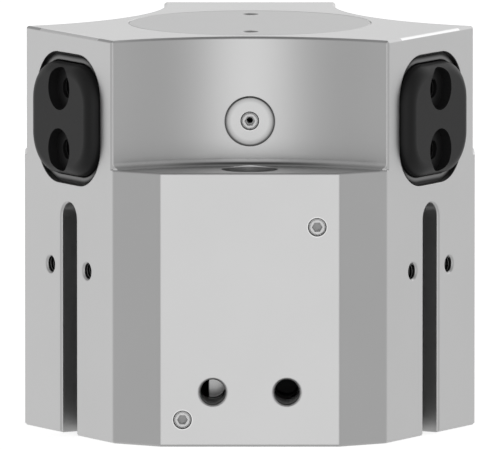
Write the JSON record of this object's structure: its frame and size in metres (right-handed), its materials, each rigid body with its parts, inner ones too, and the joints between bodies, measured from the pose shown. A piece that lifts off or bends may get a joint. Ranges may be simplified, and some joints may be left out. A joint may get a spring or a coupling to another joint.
{
  "type": "three jaw centric gripper",
  "caption": "Sealed pneumatic centric gripper: a satin aluminium block with steel jaws that slide outward together, driven by a piston and a wedge hook.",
  "frame": {"origin": "centre of the base face, on the working axis", "axes": "+Z along the working axis from the base face to the top cover; +Y along the back arm; the port side faces -Y"},
  "size_m": [0.0734, 0.0698, 0.0655],
  "materials": {
    "anodised_aluminium": "clear anodised, satin",
    "cover_aluminium": "turned and clear anodised, satin",
    "seal_rubber": "matt black nitrile rubber",
    "spring_steel": "phosphated spring steel",
    "bearing_bronze": "sintered bronze",
    "frame_steel": "pressed stainless steel, satin",
    "screw_steel": "stainless steel",
    "piston_aluminium": "turned, bright",
    "magnet_ferrite": "ferrite, dull",
    "wear_plastic": "filled polymer",
    "ground_steel": "hardened and ground",
    "black_steel": "hardened steel, black oxide, satin"
  },
  "bodies": {
    "gripper_body": {"housing": "anodised_aluminium", "top_cover": "cover_aluminium", "cover_seal_ring": "seal_rubber", "base_cap": "cover_aluminium", "base_cap_seal_ring": "seal_rubber", "base_spring_ring": "spring_steel", "rod_bush": "bearing_bronze", "rod_seal": "seal_rubber", "upper_bumper": "seal_rubber", "lower_bumper": "seal_rubber", "jaw_seal_1": "seal_rubber", "jaw_seal_2": "seal_rubber", "jaw_seal_3": "seal_rubber", "seal_frame_1": "frame_steel", "seal_frame_2": "frame_steel", "seal_frame_3": "frame_steel", "duct_plug_screws": "screw_steel", "base_duct_plugs": "screw_steel", "wall_nozzle_screws": "screw_steel"},
    "piston_set": {"piston_lower_half": "piston_aluminium", "piston_upper_half": "piston_aluminium", "piston_seals": "seal_rubber", "magnet_ring": "magnet_ferrite", "wear_ring": "wear_plastic", "piston_rod": "ground_steel", "piston_nut": "screw_steel", "wedge_hook": "ground_steel", "wedge_screw": "black_steel"},
    "back_jaw": {"jaw_1": "black_steel"},
    "left_jaw": {"jaw_2": "black_steel"},
    "right_jaw": {"jaw_3": "black_steel"}
  },
  "joints": [
    {"name": "piston_slide", "type": "slide", "parent": "gripper_body", "child": "piston_set", "axis": [0, 0, 1], "range_m": [0, 0.008]},
    {"name": "back_jaw_slide", "type": "slide", "parent": "gripper_body", "child": "back_jaw", "axis": [0, 1, 0], "range_m": [0, 0.004]},
    {"name": "left_jaw_slide", "type": "slide", "parent": "gripper_body", "child": "left_jaw", "axis": [-0.866, -0.5, 0], "range_m": [0, 0.004]},
    {"name": "right_jaw_slide", "type": "slide", "parent": "gripper_body", "child": "right_jaw", "axis": [0.866, -0.5, 0], "range_m": [0, 0.004]}
  ],
  "couplings": [
    {"joint": "back_jaw_slide", "follows": "piston_slide", "ratio": 0.5},
    {"joint": "left_jaw_slide", "follows": "piston_slide", "ratio": 0.5},
    {"joint": "right_jaw_slide", "follows": "piston_slide", "ratio": 0.5}
  ]
}
